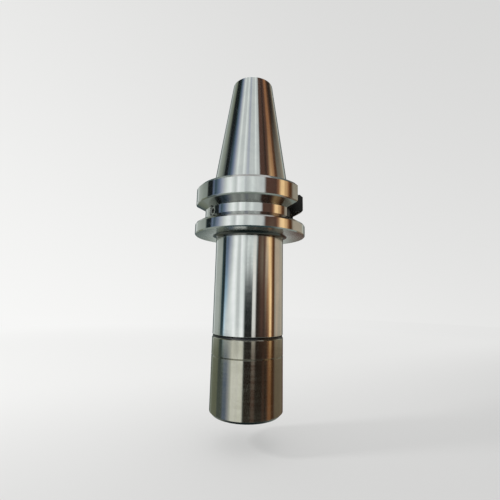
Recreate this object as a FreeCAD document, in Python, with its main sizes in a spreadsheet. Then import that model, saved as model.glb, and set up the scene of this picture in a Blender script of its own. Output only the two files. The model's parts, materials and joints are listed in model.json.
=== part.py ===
# Collet chuck holder: a 30-size 7/24 steep taper shank with a grooved drive flange, a long slim
# barrel and a nut that clamps an 8 degree spring collet.
# Frame: the axis is Z, the nut's front face lies on Z = 0 and the taper points up, along +Z.
# The two drive slots open towards +X and -X. Every length is in millimetres, every angle in degrees.
import FreeCAD, Part
import Sketcher

import os
import re

SIZES = {
    # shank taper
    "projection_length": 90.0,  # nut face to gauge line
    "gauge_dia": 31.75,
    "taper_length": 48.4,
    "taper_rise": 7.0,  # the diameter grows by taper_rise in every taper_run of length
    "taper_run": 24.0,
    "taper_end_chamfer": 0.6,
    "neck_relief": 0.3,  # the neck under the gauge line, below the ground taper
    # flange
    "flange_dia": 46.0,
    "flange_drop": 2.0,  # gauge line down to the flange's upper face
    "flange_height": 20.0,
    "flange_chamfer": 1.2,
    "rim_chamfer": 0.4,
    "groove_drop": 11.6,  # upper face down to the middle of the V groove
    "groove_mouth": 8.0,
    "groove_floor_dia": 38.0,
    "groove_angle": 60.0,
    "slot_width": 16.1,
    "slot_floor": 16.3,  # axis to the slot's floor
    "slot_depth": 15.0,  # down from the upper face
    # barrel and nose, from the collet's socket outwards
    "nose_wall": 3.0,  # collet's big end to the crest of the nose thread
    "nut_shell": 3.0,  # crest of the nose thread to the barrel's surface
    "root_fillet": 1.5,
    "edge_break": 0.3,
    "nut_gap": 0.7,  # barrel shoulder to the tightened nut
    "pilot_step": 0.5,  # the nose's pilot stands this far above the thread's crest
    "nose_pilot_length": 4.7,
    "thread_height": 0.55,  # crest to root: the nose is left plain at the root
    "relief_width": 1.5,
    "relief_depth": 0.7,  # below the thread's crest
    "nose_chamfer": 0.5,
    "nose_gap": 1.4,  # extractor ring to the nose's end face
    # bores of the body
    "socket_run_out": 2.0,  # the socket cone goes on past the collet by this much
    "stop_thread_dia": 10.0,
    "stop_thread_length": 25.0,
    "through_bore_dia": 8.4,
    "drawbar_thread_dia": 12.0,  # the M12 drawbar thread is left plain at its root
    "drawbar_thread_length": 24.0,
    "drawbar_pilot_dia": 12.5,
    "drawbar_pilot_length": 7.0,
    # nut
    "nut_length": 28.0,
    "nut_step": 0.1,  # the nut stands this much proud of the barrel, all round
    "nut_chamfer": 1.0,
    "nut_wall": 1.8,  # front wall, up to the extractor ring's seat
    "nut_seat_width": 1.0,  # radial width of that seat
    "nut_pilot_overlap": 1.0,  # the nut's pilot bore goes on below the nose's pilot
    "line_height": 21.2,
    "line_width": 0.5,
    "line_depth": 0.3,
    # spring collet
    "collet_bore_dia": 10.0,
    "collet_recess": 0.6,
    "collet_length": 30.4,
    "collet_big_dia": 16.0,
    "collet_head_step": 0.1,  # the head is this much smaller than the big end, all round
    "collet_head_length": 3.0,
    "collet_face_width": 1.0,  # radial width of the sloped front face
    "collet_groove_depth": 1.0,
    "collet_groove_width": 1.6,
    "collet_half_angle": 4.0,
    "collet_face_angle": 30.0,
    "collet_grip_length": 22.0,
    "collet_relief_depth": 0.25,
    "slit_width": 0.6,
    "slit_count": 6.0,
    "slit_rear_bridge": 4.0,
    "slit_front_bridge": 6.6,
    # extractor ring and the snap ring that keeps it in the nut
    "ring_setback": 0.4,
    "ring_inset": 0.8,  # thread crest to the ring's flange
    "ring_flange_height": 2.4,
    "ring_hub_step": 0.7,
    "lip_thickness": 1.2,
    "lip_clearance": 0.15,
    "lip_offset": 0.85,
    "snap_ring_width": 1.0,
    "snap_ring_thickness": 0.8,
    "snap_ring_gap": 40.0,  # angle left open between its ends
    # stop screw
    "stop_setback": 4.0,  # collet's rear face to the stop screw
    "stop_length": 14.0,
    "stop_hex": 5.0,
    "stop_hex_depth": 5.0,
    "stop_hole_dia": 3.0,
    # balance screw
    "balance_dia": 4.0,
    "balance_angle": 233.0,  # about Z, from +X
    "balance_hole_depth": 7.0,
    "balance_length": 4.0,
    "balance_recess": 0.5,
    "balance_hex": 2.0,
    "balance_hex_depth": 1.6,
    # fits, all of them radial
    "running_clearance": 0.08,
    "seat_clearance": 0.05,
    "ring_clearance": 0.1,
}

# Heights and radii that follow from the sizes above.
WORKED_OUT = {
    "shoulder": "nut_length + nut_gap",
    "flange_top": "projection_length - flange_drop",
    "flange_bottom": "flange_top - flange_height",
    "taper_top": "projection_length + taper_length",
    "taper_slope": "taper_rise / taper_run / 2",
    "taper_small_r": "gauge_dia / 2 - taper_length * taper_slope",
    "groove_middle": "flange_top - groove_drop",
    "groove_slope": "tan(groove_angle / 2)",
    "groove_floor_half": "groove_mouth / 2 - (flange_dia - groove_floor_dia) / 2 * groove_slope",
    "relief_top": "shoulder - nose_pilot_length",
    "relief_bottom": "relief_top - relief_width",
    "collet_big_r": "collet_big_dia / 2",
    "thread_r": "collet_big_r + nose_wall",
    "nose_pilot_r": "thread_r + pilot_step",
    "barrel_r": "thread_r + nut_shell",
    "collet_slope": "tan(collet_half_angle)",
    "face_slope": "tan(collet_face_angle)",
    "head_end": "collet_recess + collet_head_length",
    "cone_start": "head_end + collet_groove_width",
    "collet_head_r": "collet_big_r - collet_head_step",
    "collet_front_r": "collet_head_r - collet_face_width",
    "collet_groove_r": "collet_head_r - collet_groove_depth",
    "collet_end": "collet_recess + collet_length",
    "collet_small_r": "collet_big_r - (collet_end - cone_start) * collet_slope",
    "lip_bottom": "head_end + (collet_groove_width - lip_thickness) / 2",
    "ring_top": "lip_bottom + lip_thickness",
    "nose_face": "ring_top + nose_gap",
    "socket_end": "collet_end + socket_run_out",
    "socket_start_r": "collet_big_r + seat_clearance - (nose_face - cone_start) * collet_slope",
    "socket_end_r": "collet_small_r + seat_clearance - socket_run_out * collet_slope",
    "stop_thread_end": "socket_end + stop_thread_length",
    "drawbar_pilot_bottom": "taper_top - drawbar_pilot_length",
    "drawbar_thread_bottom": "drawbar_pilot_bottom - drawbar_thread_length",
    "nut_r": "barrel_r + nut_step",
    "nut_pilot_r": "nose_pilot_r + running_clearance",
    "nut_pilot_bottom": "relief_top - nut_pilot_overlap",
    "nut_thread_r": "thread_r + running_clearance",
    "nut_thread_bottom": "nose_face - edge_break",
    "ring_flange_r": "thread_r - ring_inset",
    "ring_flange_top": "nut_wall + ring_flange_height",
    "nut_opening_r": "ring_flange_r - nut_seat_width",
    "chamber_r": "ring_flange_r + ring_clearance",
    "snap_ring_bottom": "ring_flange_top + ring_clearance",
    "snap_ring_top": "snap_ring_bottom + snap_ring_thickness",
    "snap_ring_inner_r": "chamber_r - snap_ring_width / 2",
    "snap_ring_outer_r": "chamber_r + snap_ring_width / 2",
    "ring_mouth_r": "collet_front_r + seat_clearance",
    "ring_bore_r": "collet_head_r + 2.5 * ring_clearance",
    "ring_seat_top": "collet_recess + (ring_bore_r - ring_mouth_r) / face_slope",
    "stop_r": "stop_thread_dia / 2 - running_clearance",
    "balance_r": "balance_dia / 2 - running_clearance",
    "balance_face": "groove_floor_dia / 2 - balance_recess",
}

CUT_MARGIN = "1"  # cuts that open to the outside run past the solid by this much

WORD = re.compile(r"[a-z][a-z_]*")


def formula(text):
    """Return text as a FreeCAD expression, with each named size spelled as its sheet cell."""

    def spell(match):
        word = match.group(0)
        if word in WORKED_OUT:
            return "(" + formula(WORKED_OUT[word]) + ")"
        if word in SIZES:
            return "Sizes." + word
        return word

    return WORD.sub(spell, text)


def make_sheet(doc):
    """Write the driving sizes into the document's spreadsheet."""
    sheet = doc.addObject("Spreadsheet::Sheet", "Sizes")
    for row, (name, number) in enumerate(SIZES.items(), start=1):
        sheet.set(f"A{row}", name)
        sheet.set(f"B{row}", str(number))
        sheet.setAlias(f"B{row}", name)
    doc.recompute()
    return sheet


def amount(owner, text):
    """Return the present value of a size formula as a plain number."""
    found = owner.Document.getObject("Sizes").evalExpression(formula(text))
    return float(getattr(found, "Value", found))


def make_body(doc, label):
    """Add an empty body whose label names the sub-part."""
    body = doc.addObject("PartDesign::Body", "Body_" + label)
    body.Label = label
    return body


def origin_plane(body, role):
    """Return one of the body's own origin planes."""
    return next(item for item in body.Origin.OriginFeatures if item.Role == role)


def make_sketch(body, name, plane, height=None, turn=None):
    """Add a sketch on an origin plane, raised by height or turned about the body's Z axis by turn."""
    sketch = body.newObject("Sketcher::SketchObject", name)
    sketch.AttachmentSupport = [(origin_plane(body, plane), "")]
    sketch.MapMode = "FlatFace"
    if height is not None:
        sketch.setExpression("AttachmentOffset.Base.z", formula(height))
    if turn is not None:
        upright = FreeCAD.Vector(0, 1, 0)
        sketch.AttachmentOffset = FreeCAD.Placement(FreeCAD.Vector(), FreeCAD.Rotation(upright, 1))
        sketch.setExpression("AttachmentOffset.Rotation.Angle", formula(turn))
    return sketch


def dimension(sketch, kind, first, value_text, *rest):
    """Add a driven dimension: a constraint whose value is bound to a size formula."""
    value = amount(sketch, value_text)
    index = sketch.addConstraint(Sketcher.Constraint(kind, first, *rest, value))
    sketch.setExpression(f"Constraints[{index}]", formula(value_text))


def place_point(sketch, line, point):
    """Fix the start of a line at (x, y), given as two size formulas; 0 puts it on the axis."""
    for kind, axis, text in (("DistanceX", -2, point[0]), ("DistanceY", -1, point[1])):
        if text == "0":
            sketch.addConstraint(Sketcher.Constraint("PointOnObject", line, 1, axis))
        else:
            dimension(sketch, kind, -1, text, 1, line, 1)


def draw_outline(sketch, points):
    """Draw a closed outline through points, each corner fixed by its two size formulas."""
    corners = [FreeCAD.Vector(amount(sketch, x), amount(sketch, y), 0) for x, y in points]
    count = len(corners)
    for index in range(count):
        sketch.addGeometry(Part.LineSegment(corners[index], corners[(index + 1) % count]))
    for index in range(count):
        sketch.addConstraint(Sketcher.Constraint("Coincident", index, 2, (index + 1) % count, 1))
    for index, point in enumerate(points):
        place_point(sketch, index, point)


def draw_circle(sketch, centre, radius):
    """Draw a circle whose centre and radius are size formulas."""
    middle = FreeCAD.Vector(amount(sketch, centre[0]), amount(sketch, centre[1]), 0)
    upright = FreeCAD.Vector(0, 0, 1)
    index = sketch.addGeometry(Part.Circle(middle, upright, amount(sketch, radius)))
    for kind, axis, text in (("DistanceX", -2, centre[0]), ("DistanceY", -1, centre[1])):
        if text == "0":
            sketch.addConstraint(Sketcher.Constraint("PointOnObject", index, 3, axis))
        else:
            dimension(sketch, kind, -1, text, 1, index, 3)
    dimension(sketch, "Radius", index, radius)
    return index


def draw_hexagon(sketch, centre, across_flats):
    """Draw a regular hexagon about centre, held by a construction circle through its corners."""
    corner_r = across_flats + " / sqrt(3)"
    circle = draw_circle(sketch, centre, corner_r)
    sketch.setConstruction(circle, True)
    middle = FreeCAD.Vector(amount(sketch, centre[0]), amount(sketch, centre[1]), 0)
    arm = FreeCAD.Vector(amount(sketch, corner_r), 0, 0)
    upright = FreeCAD.Vector(0, 0, 1)
    corners = [middle + FreeCAD.Rotation(upright, 60 * step).multVec(arm) for step in range(6)]
    sides = []
    for step in range(6):
        side = Part.LineSegment(corners[step], corners[(step + 1) % 6])
        sides.append(sketch.addGeometry(side))
    for step, side in enumerate(sides):
        sketch.addConstraint(Sketcher.Constraint("Coincident", side, 2, sides[(step + 1) % 6], 1))
        sketch.addConstraint(Sketcher.Constraint("PointOnObject", side, 1, circle))
        if step:
            sketch.addConstraint(Sketcher.Constraint("Equal", sides[0], side))
    sketch.addConstraint(Sketcher.Constraint("Horizontal", sides[1]))


def turn_profile(body, kind, name, sketch, axis="V_Axis"):
    """Revolve a sketch a full turn, as added or removed material."""
    feature = body.newObject(kind, name)
    feature.Profile = sketch
    feature.ReferenceAxis = (sketch, [axis])
    feature.Angle = 360
    body.Document.recompute()
    return feature


def turned_part(body, name, points):
    """Add material: a closed outline of (radius, height) corners turned about Z."""
    sketch = make_sketch(body, name + "Outline", "XZ_Plane")
    draw_outline(sketch, points)
    return turn_profile(body, "PartDesign::Revolution", name, sketch)


def turned_cut(body, name, points):
    """Remove material: a closed outline of (radius, height) corners turned about Z."""
    sketch = make_sketch(body, name + "Outline", "XZ_Plane")
    draw_outline(sketch, points)
    return checked_cut(body, lambda: turn_profile(body, "PartDesign::Groove", name, sketch))


def checked_cut(body, make_cut):
    """Make a cut and insist that it removed material."""
    before = body.Shape.Volume
    feature = make_cut()
    if body.Shape.Volume >= before:
        raise RuntimeError(f"{feature.Name} removed nothing from {body.Label}")
    return feature


def pocket(body, name, sketch, depth, both_ways=False, upward=False):
    """Cut a sketch into the body by a depth that is a size formula."""

    def cut():
        feature = body.newObject("PartDesign::Pocket", name)
        feature.Profile = sketch
        feature.Midplane = both_ways
        feature.Reversed = upward
        feature.setExpression("Length", formula(depth))
        body.Document.recompute()
        return feature

    return checked_cut(body, cut)


def repeat_about_z(body, feature, name, axis, count):
    """Repeat a feature evenly about the body's axis and make the pattern the body's tip."""
    pattern = body.newObject("PartDesign::PolarPattern", name)
    pattern.Originals = [feature]
    pattern.Axis = axis
    pattern.Angle = 360
    pattern.setExpression("Occurrences", formula(count))
    body.Tip = pattern
    body.Document.recompute()
    return pattern


def ring_edges(body, spots):
    """Name the body's circular edges that lie at each (radius, height) spot."""
    names = []
    wanted = [(amount(body, radius), amount(body, height)) for radius, height in spots]
    for number, edge in enumerate(body.Shape.Edges, start=1):
        if not isinstance(edge.Curve, Part.Circle):
            continue
        here = (edge.Curve.Radius, edge.Curve.Center.z)
        if any(abs(here[0] - r) < 1e-4 and abs(here[1] - z) < 1e-4 for r, z in wanted):
            names.append(f"Edge{number}")
    if len(names) < len(spots):
        raise RuntimeError(f"{body.Label} has {len(names)} of {len(spots)} edges to dress")
    return names


def fillet_edges(body, name, radius, spots):
    """Round the circular edges at the given spots."""
    names = ring_edges(body, spots)
    feature = body.newObject("PartDesign::Fillet", name)
    feature.Base = (body.Tip if body.Tip != feature else feature.BaseFeature, names)
    feature.setExpression("Radius", formula(radius))
    body.Document.recompute()
    return feature


def chamfer_edges(body, name, size, spots):
    """Bevel the circular edges at the given spots."""
    names = ring_edges(body, spots)
    feature = body.newObject("PartDesign::Chamfer", name)
    feature.Base = (body.Tip if body.Tip != feature else feature.BaseFeature, names)
    feature.setExpression("Size", formula(size))
    body.Document.recompute()
    return feature


def chuck_body(doc):
    """Turn the one-piece shank: nose, barrel, flange and taper, then cut its grooves, slots and bores."""
    body = make_body(doc, "chuck_body")
    turned_part(body, "OuterForm", [
        ("0", "nose_face"),
        ("thread_r - thread_height - nose_chamfer", "nose_face"),
        ("thread_r - thread_height", "nose_face + nose_chamfer"),
        ("thread_r - thread_height", "relief_bottom"),
        ("thread_r - relief_depth", "relief_bottom"),
        ("thread_r - relief_depth", "relief_top"),
        ("nose_pilot_r", "relief_top"),
        ("nose_pilot_r", "shoulder"),
        ("barrel_r - edge_break", "shoulder"),
        ("barrel_r", "shoulder + edge_break"),
        ("barrel_r", "flange_bottom"),
        ("flange_dia / 2 - rim_chamfer", "flange_bottom"),
        ("flange_dia / 2", "flange_bottom + rim_chamfer"),
        ("flange_dia / 2", "flange_top - flange_chamfer"),
        ("flange_dia / 2 - flange_chamfer", "flange_top"),
        ("gauge_dia / 2 - neck_relief", "flange_top"),
        ("gauge_dia / 2 - neck_relief", "projection_length"),
        ("gauge_dia / 2", "projection_length"),
        ("taper_small_r + taper_end_chamfer * taper_slope", "taper_top - taper_end_chamfer"),
        ("taper_small_r - taper_end_chamfer", "taper_top"),
        ("0", "taper_top"),
    ])
    fillet_edges(body, "RootFillet", "root_fillet", [("barrel_r", "flange_bottom")])
    cut_gripper_groove(body)
    cut_bores(body)
    cut_drive_slots(body)
    drill_balance_hole(body)
    return body


def cut_gripper_groove(body):
    """Turn the V groove that a tool changer's gripper holds, and bevel its mouth."""
    outside = f"flange_dia / 2 + {CUT_MARGIN}"
    mouth_half = f"groove_mouth / 2 + {CUT_MARGIN} * groove_slope"
    turned_cut(body, "GripperGroove", [
        ("groove_floor_dia / 2", "groove_middle - groove_floor_half"),
        (outside, f"groove_middle - ({mouth_half})"),
        (outside, f"groove_middle + {mouth_half}"),
        ("groove_floor_dia / 2", "groove_middle + groove_floor_half"),
    ])
    chamfer_edges(body, "GrooveMouthBevel", "rim_chamfer", [
        ("flange_dia / 2", "groove_middle - groove_mouth / 2"),
        ("flange_dia / 2", "groove_middle + groove_mouth / 2"),
    ])


def cut_bores(body):
    """Bore the collet socket, the stop screw's thread, the through bore and the drawbar thread."""
    turned_cut(body, "Bores", [
        ("0", "nose_face"),
        ("socket_start_r + edge_break", "nose_face"),
        ("socket_start_r - edge_break * collet_slope", "nose_face + edge_break"),
        ("socket_end_r", "socket_end"),
        ("stop_thread_dia / 2", "socket_end"),
        ("stop_thread_dia / 2", "stop_thread_end"),
        ("through_bore_dia / 2", "stop_thread_end"),
        ("through_bore_dia / 2", "drawbar_thread_bottom"),
        ("drawbar_thread_dia / 2", "drawbar_thread_bottom"),
        ("drawbar_thread_dia / 2", "drawbar_pilot_bottom"),
        ("drawbar_pilot_dia / 2", "drawbar_pilot_bottom"),
        ("drawbar_pilot_dia / 2", "taper_top - edge_break"),
        ("drawbar_pilot_dia / 2 + edge_break", "taper_top"),
        ("0", "taper_top"),
    ])


def cut_drive_slots(body):
    """Mill the two drive slots down through the flange's upper ring."""
    sketch = make_sketch(body, "DriveSlotOutline", "XY_Plane", height="flange_top")
    outside = f"flange_dia / 2 + {CUT_MARGIN}"
    draw_outline(sketch, [
        ("slot_floor", "-slot_width / 2"),
        (outside, "-slot_width / 2"),
        (outside, "slot_width / 2"),
        ("slot_floor", "slot_width / 2"),
    ])
    slot = pocket(body, "DriveSlot", sketch, "slot_depth")
    repeat_about_z(body, slot, "DriveSlots", (sketch, ["N_Axis"]), "2")


def drill_balance_hole(body):
    """Drill the balance screw's hole into the floor of the gripper groove."""
    sketch = make_sketch(body, "BalanceHoleOutline", "XZ_Plane", turn="balance_angle")
    inner_end = "groove_floor_dia / 2 - balance_hole_depth"
    outer_end = f"groove_floor_dia / 2 + {CUT_MARGIN}"
    draw_outline(sketch, [
        (f"{inner_end} - balance_dia / 2 * face_slope", "groove_middle"),
        (outer_end, "groove_middle"),
        (outer_end, "groove_middle + balance_dia / 2"),
        (inner_end, "groove_middle + balance_dia / 2"),
    ])
    checked_cut(body, lambda: turn_about_first_line(body, "PartDesign::Groove", "BalanceHole", sketch))


def turn_about_first_line(body, kind, name, sketch):
    """Revolve a sketch about the line through its first edge."""
    feature = body.newObject(kind, name)
    feature.Profile = sketch
    feature.ReferenceAxis = (sketch, ["Edge1"])
    feature.Angle = 360
    body.Document.recompute()
    return feature


def clamping_nut(doc):
    """Turn the smooth round nut, with its front opening, ring chamber, thread and pilot bore."""
    body = make_body(doc, "clamping_nut")
    turned_part(body, "NutShell", [
        ("nut_opening_r + edge_break", "0"),
        ("nut_r - nut_chamfer", "0"),
        ("nut_r", "nut_chamfer"),
        ("nut_r", "line_height - line_width / 2"),
        ("nut_r - line_depth", "line_height"),
        ("nut_r", "line_height + line_width / 2"),
        ("nut_r", "nut_length - edge_break"),
        ("nut_r - edge_break", "nut_length"),
        ("nut_pilot_r + edge_break", "nut_length"),
        ("nut_pilot_r", "nut_length - edge_break"),
        ("nut_pilot_r", "nut_pilot_bottom"),
        ("nut_thread_r", "nut_pilot_bottom"),
        ("nut_thread_r", "nut_thread_bottom"),
        ("chamber_r", "nut_thread_bottom"),
        ("chamber_r", "nut_wall"),
        ("nut_opening_r", "nut_wall"),
        ("nut_opening_r", "edge_break"),
    ])
    inside = f"chamber_r - {CUT_MARGIN}"
    turned_cut(body, "SnapRingGroove", [
        (inside, "snap_ring_bottom - seat_clearance"),
        ("snap_ring_outer_r + seat_clearance", "snap_ring_bottom - seat_clearance"),
        ("snap_ring_outer_r + seat_clearance", "snap_ring_top + seat_clearance"),
        (inside, "snap_ring_top + seat_clearance"),
    ])
    return body


def extractor_ring(doc):
    """Turn the ring that presses the collet home, then bore its lip off centre to hook the collet."""
    body = make_body(doc, "extractor_ring")
    turned_part(body, "RingForm", [
        ("ring_mouth_r", "ring_setback"),
        ("nut_opening_r - ring_clearance", "ring_setback"),
        ("nut_opening_r - ring_clearance", "nut_wall"),
        ("ring_flange_r", "nut_wall"),
        ("ring_flange_r", "ring_flange_top"),
        ("ring_flange_r - ring_hub_step", "ring_flange_top"),
        ("ring_flange_r - ring_hub_step", "ring_top"),
        ("collet_groove_r + ring_clearance", "ring_top"),
        ("collet_groove_r + ring_clearance", "lip_bottom"),
        ("ring_bore_r", "lip_bottom"),
        ("ring_bore_r", "ring_seat_top"),
        ("ring_mouth_r", "collet_recess"),
    ])
    sketch = make_sketch(body, "LipBoreOutline", "XY_Plane", height="lip_bottom")
    draw_circle(sketch, ("lip_offset", "0"), "collet_head_r + lip_clearance")
    pocket(body, "LipBore", sketch, f"lip_thickness + {CUT_MARGIN}", upward=True)
    return body


def snap_ring(doc):
    """Make the open snap ring that keeps the extractor ring in the nut."""
    body = make_body(doc, "snap_ring")
    sketch = make_sketch(body, "RingSection", "XZ_Plane")
    draw_outline(sketch, [
        ("snap_ring_inner_r", "snap_ring_bottom"),
        ("snap_ring_outer_r", "snap_ring_bottom"),
        ("snap_ring_outer_r", "snap_ring_top"),
        ("snap_ring_inner_r", "snap_ring_top"),
    ])
    ring = turn_profile(body, "PartDesign::Revolution", "OpenRing", sketch)
    ring.setExpression("Angle", formula("360 - snap_ring_gap"))
    doc.recompute()
    return body


def spring_collet(doc):
    """Turn the collet and saw its slits, in turn from the front and from the rear."""
    body = make_body(doc, "spring_collet")
    relief_r = "collet_bore_dia / 2 + collet_relief_depth"
    turned_part(body, "ColletForm", [
        ("collet_bore_dia / 2 + edge_break", "collet_recess"),
        ("collet_front_r", "collet_recess"),
        ("collet_head_r", "collet_recess + collet_face_width / face_slope"),
        ("collet_head_r", "head_end"),
        ("collet_groove_r", "head_end"),
        ("collet_groove_r", "cone_start"),
        ("collet_big_r", "cone_start"),
        ("collet_small_r", "collet_end"),
        (relief_r, "collet_end"),
        (relief_r, "collet_recess + collet_grip_length"),
        ("collet_bore_dia / 2", "collet_recess + collet_grip_length"),
        ("collet_bore_dia / 2", "collet_recess + edge_break"),
    ])
    cut_slits(body, "FrontSlit", f"collet_recess - {CUT_MARGIN}", "collet_end - slit_rear_bridge", "0")
    cut_slits(body, "RearSlit", "collet_recess + slit_front_bridge", f"collet_end + {CUT_MARGIN}",
              "180 / slit_count")
    return body


def cut_slits(body, name, low, high, turn):
    """Saw one slit through the collet's wall between two heights and repeat it about the axis."""
    sketch = make_sketch(body, name + "Outline", "XZ_Plane", turn=turn)
    outside = f"collet_big_r + {CUT_MARGIN}"
    inside = "collet_bore_dia / 4"
    draw_outline(sketch, [(inside, low), (outside, low), (outside, high), (inside, high)])
    slit = pocket(body, name, sketch, "slit_width", both_ways=True)
    repeat_about_z(body, slit, name + "s", (sketch, ["V_Axis"]), "slit_count")


def stop_screw(doc):
    """Make the hollow set screw behind the collet that stops the tool's shank."""
    body = make_body(doc, "stop_screw")
    turned_part(body, "ScrewForm", [
        ("stop_hole_dia / 2", "0"),
        ("stop_r - edge_break", "0"),
        ("stop_r", "edge_break"),
        ("stop_r", "stop_length - edge_break"),
        ("stop_r - edge_break", "stop_length"),
        ("stop_hole_dia / 2", "stop_length"),
    ])
    sketch = make_sketch(body, "SocketOutline", "XY_Plane")
    draw_hexagon(sketch, ("0", "0"), "stop_hex")
    pocket(body, "HexSocket", sketch, "stop_hex_depth", upward=True)
    body.setExpression("Placement.Base.z", formula("collet_end + stop_setback"))
    doc.recompute()
    return body


def balance_screw(doc):
    """Make the grub screw in the gripper groove's floor; it is drawn along +X and turned to its place."""
    body = make_body(doc, "balance_screw")
    sketch = make_sketch(body, "ScrewOutline", "XZ_Plane")
    inner_end = "balance_face - balance_length"
    draw_outline(sketch, [
        (inner_end, "groove_middle"),
        ("balance_face", "groove_middle"),
        ("balance_face", "groove_middle + balance_r - edge_break"),
        ("balance_face - edge_break", "groove_middle + balance_r"),
        (f"{inner_end} + edge_break", "groove_middle + balance_r"),
        (inner_end, "groove_middle + balance_r - edge_break"),
    ])
    turn_about_first_line(body, "PartDesign::Revolution", "ScrewForm", sketch)
    socket = make_sketch(body, "SocketOutline", "YZ_Plane", height="balance_face")
    draw_hexagon(socket, ("0", "groove_middle"), "balance_hex")
    pocket(body, "HexSocket", socket, "balance_hex_depth")
    body.Placement = FreeCAD.Placement(FreeCAD.Vector(), FreeCAD.Rotation(FreeCAD.Vector(0, 0, 1), 1))
    body.setExpression("Placement.Rotation.Angle", formula("balance_angle"))
    doc.recompute()
    return body


def check_document(doc, sub_parts):
    """Stop if any object failed or any sub-part has no sound solid."""
    for item in doc.Objects:
        if "Invalid" in item.State or "Error" in item.State:
            raise RuntimeError(f"{item.Name} did not recompute: {item.State}")
    for sub_part in sub_parts:
        shape = sub_part.Shape
        if shape.isNull() or not shape.isValid() or len(shape.Solids) != 1:
            raise RuntimeError(f"{sub_part.Label} is not one sound solid")


def main():
    doc = FreeCAD.newDocument("ColletChuckHolder")
    make_sheet(doc)
    makers = (
        chuck_body,
        clamping_nut,
        extractor_ring,
        snap_ring,
        spring_collet,
        stop_screw,
        balance_screw,
    )
    sub_parts = [make(doc) for make in makers]
    doc.recompute()
    check_document(doc, sub_parts)
    os.makedirs("parts", exist_ok=True)
    for sub_part in sub_parts:
        sub_part.Shape.exportStep(f"parts/{sub_part.Label}.step")
        box = sub_part.Shape.BoundBox
        print(f"{sub_part.Label}: z {box.ZMin:.2f} to {box.ZMax:.2f}, "
              f"{sub_part.Shape.Volume:.0f} mm3, {len(sub_part.Shape.Faces)} faces")


main()
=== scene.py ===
"""Collet chuck holder: its steel finishes, cut threads, studio and camera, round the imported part.

Lengths are in metres. +Z runs from the nut's face to the small end of the taper. Bearings round
the axis are in degrees, counted from -Y towards +X.
"""

import json
import logging
import math
from collections.abc import Callable
from dataclasses import dataclass, field
from enum import Enum

import bmesh
import bpy
from mathutils import Matrix, Vector


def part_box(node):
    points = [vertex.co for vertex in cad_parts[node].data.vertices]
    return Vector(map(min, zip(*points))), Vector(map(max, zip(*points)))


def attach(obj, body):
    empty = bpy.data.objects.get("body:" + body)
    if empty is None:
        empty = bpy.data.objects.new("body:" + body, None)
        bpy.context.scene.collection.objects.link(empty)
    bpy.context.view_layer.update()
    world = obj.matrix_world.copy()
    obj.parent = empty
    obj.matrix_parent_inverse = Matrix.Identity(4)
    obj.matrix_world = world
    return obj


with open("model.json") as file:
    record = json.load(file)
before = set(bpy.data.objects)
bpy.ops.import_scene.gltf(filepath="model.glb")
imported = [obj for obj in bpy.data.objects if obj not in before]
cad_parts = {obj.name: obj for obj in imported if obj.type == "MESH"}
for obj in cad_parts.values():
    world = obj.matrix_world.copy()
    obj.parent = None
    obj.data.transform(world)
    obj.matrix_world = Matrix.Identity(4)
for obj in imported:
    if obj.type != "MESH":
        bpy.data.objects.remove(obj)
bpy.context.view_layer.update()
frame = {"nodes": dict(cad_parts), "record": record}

LOG = logging.getLogger("collet_chuck_holder")
MM = 0.001
BACKDROP = (1.0, 1.0, 0.99, 1.0)
SHARP_ANGLE = 25.0
THREAD_FLANK = 30.0
THREAD_SINK = 0.04 * MM
LEAST_RISE = 0.02
RUN_OUT_RATE = 3
ON_AXIS = -1.0
GRAIN_RANGE = (0.3, 0.7)
GLOSS_SPREAD = (0.82, 1.24)
SCRATCH_ROUGHNESS = 0.1
ANISOTROPIC_TURN = 0.25

Colour = tuple[float, float, float]
Fed = bpy.types.NodeSocket | float | tuple | Vector


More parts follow.
